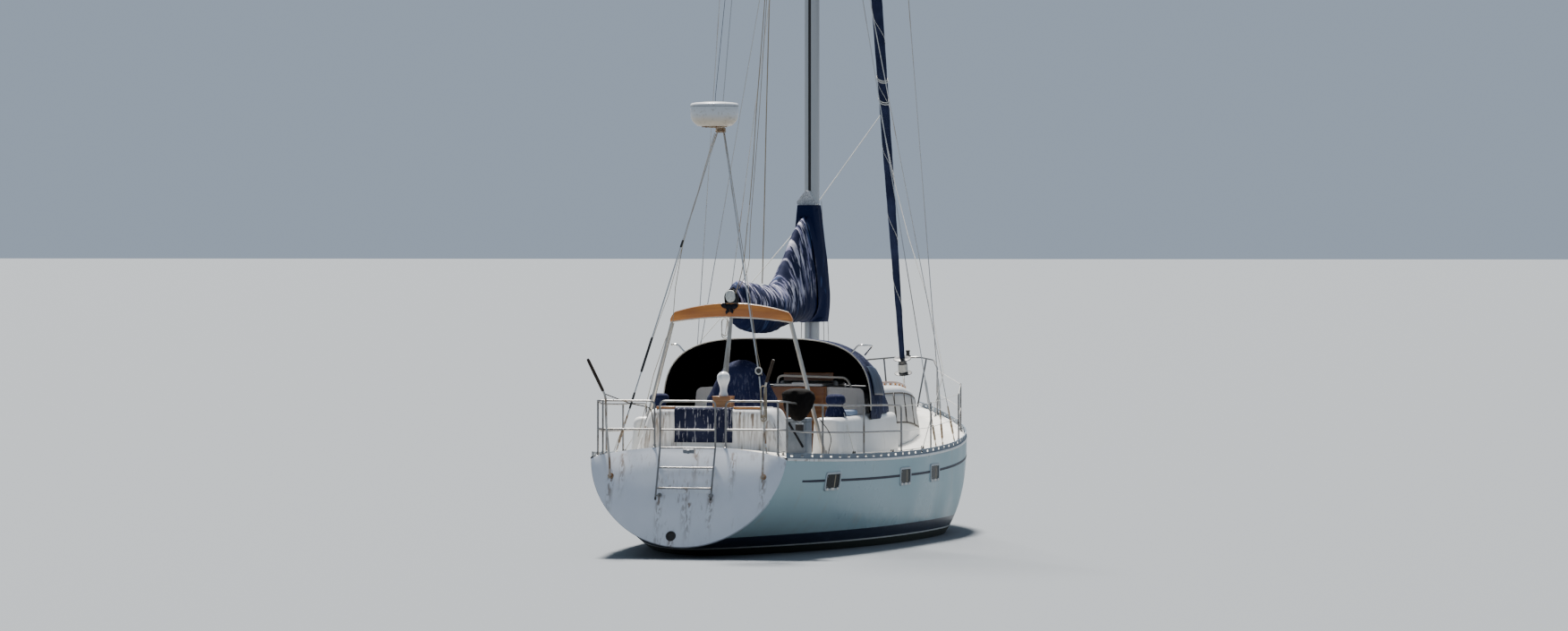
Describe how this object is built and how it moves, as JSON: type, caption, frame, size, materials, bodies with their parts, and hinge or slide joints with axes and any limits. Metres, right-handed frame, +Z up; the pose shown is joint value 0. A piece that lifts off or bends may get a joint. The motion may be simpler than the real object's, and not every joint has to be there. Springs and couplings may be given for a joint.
{
  "type": "cruising sailing yacht",
  "caption": "Aft-cockpit cruising sloop with fin keel, skeg rudder, furled headsail, covered mainsail on a boom gallows, sprayhood, stern rail and boarding ladder.",
  "frame": {"origin": "on the centreline at the waterline, amidships", "axes": "+X forward, +Y port, +Z up along the mast"},
  "size_m": [13.3992, 3.92, 22.23],
  "materials": {
    "topsides": "glossy pale grey-green gelcoat, weathered",
    "white_gelcoat": "white gelcoat with dirt and rust streaks",
    "boot_paint": "navy paint",
    "antifouling": "matt black antifouling",
    "stainless": "polished stainless tube and wire",
    "spar_alloy": "dull anodised alloy",
    "bronze": "dull bronze",
    "varnished_wood": "varnished teak",
    "navy_canvas": "faded navy acrylic canvas",
    "black_canvas": "black canvas",
    "grey_plastic": "matt grey",
    "white_plastic": "white moulding"
  },
  "bodies": {
    "hull": {"hull_topsides": "topsides", "transom": "white_gelcoat", "deck": "white_gelcoat", "coachroof": "white_gelcoat", "sea_hood": "white_gelcoat", "fore_hatch_frame": "white_gelcoat", "cockpit_tub": "white_gelcoat", "coaming_port": "white_gelcoat", "coaming_starboard": "white_gelcoat", "aft_house": "white_gelcoat", "helm_pedestal": "white_gelcoat", "boot_stripe": "boot_paint", "hull_bottom": "antifouling", "fin_keel": "antifouling", "skeg": "antifouling", "cap_shroud_port": "stainless", "cap_shroud_starboard": "stainless", "lower_shrouds_port": "stainless", "lower_shrouds_starboard": "stainless", "backstay": "stainless", "backstay_leg_port": "stainless", "backstay_leg_starboard": "stainless", "stem_fitting": "stainless", "stern_rail_port": "stainless", "stern_rail_starboard": "stainless", "life_lines_port": "stainless", "life_lines_starboard": "stainless", "pulpit": "stainless", "stern_pole_port": "stainless", "stern_pole_starboard": "stainless", "ladder_arm_port": "stainless", "ladder_arm_starboard": "stainless", "toe_rail_port": "spar_alloy", "toe_rail_starboard": "spar_alloy", "gallows_frame": "spar_alloy", "mast": "spar_alloy", "spreaders": "spar_alloy", "prop_shaft": "bronze", "washboards": "varnished_wood", "cap_box": "varnished_wood", "gallows_beam": "varnished_wood", "aft_drape": "navy_canvas", "helm_cover": "navy_canvas", "winch_cover_port": "navy_canvas", "winch_cover_starboard": "navy_canvas", "dodger": "navy_canvas", "sail_cover_mast": "navy_canvas", "grill_cover": "black_canvas", "side_locker": "grey_plastic", "white_cap": "white_plastic", "radome": "white_plastic"},
    "rudder": {"rudder": "antifouling"},
    "propeller": {"propeller": "bronze"},
    "boom": {"boom": "spar_alloy", "sail_cover_boom": "navy_canvas"},
    "furler": {"rolled_headsail": "navy_canvas", "furler_drum": "black_canvas"},
    "ladder": {"boarding_ladder": "stainless"},
    "main_hatch": {"companion_hatch": "white_gelcoat"},
    "fore_hatch": {"fore_hatch_lid": "grey_plastic"}
  },
  "joints": [
    {"name": "rudder_turn", "type": "hinge", "parent": "hull", "child": "rudder", "pos_m": [-5.18, 0, -0.9], "axis": [0, 0, 1], "range_deg": [-35, 35]},
    {"name": "propeller_spin", "type": "hinge", "parent": "hull", "child": "propeller", "pos_m": [-4.47, 0, -0.68], "axis": [0.9945, 0, 0.1045], "continuous": true},
    {"name": "boom_swing", "type": "hinge", "parent": "hull", "child": "boom", "pos_m": [0.3, 0, 3.28], "axis": [0, 0, 1], "range_deg": [-70, 70]},
    {"name": "furler_turn", "type": "hinge", "parent": "hull", "child": "furler", "pos_m": [6.36, 0, 1.8], "axis": [-0.2982, 0, 0.9545], "continuous": true},
    {"name": "ladder_swing", "type": "hinge", "parent": "hull", "child": "ladder", "pos_m": [-6.55619, 0, 0.831], "axis": [0, -1, 0], "range_deg": [0, 160]},
    {"name": "main_hatch_slide", "type": "slide", "parent": "hull", "child": "main_hatch", "axis": [1, 0, 0], "range_m": [0, 0.58]},
    {"name": "fore_hatch_hinge", "type": "hinge", "parent": "hull", "child": "fore_hatch", "pos_m": [3.294, 0, 2.109], "axis": [0, 1, 0], "range_deg": [0, 110]}
  ]
}
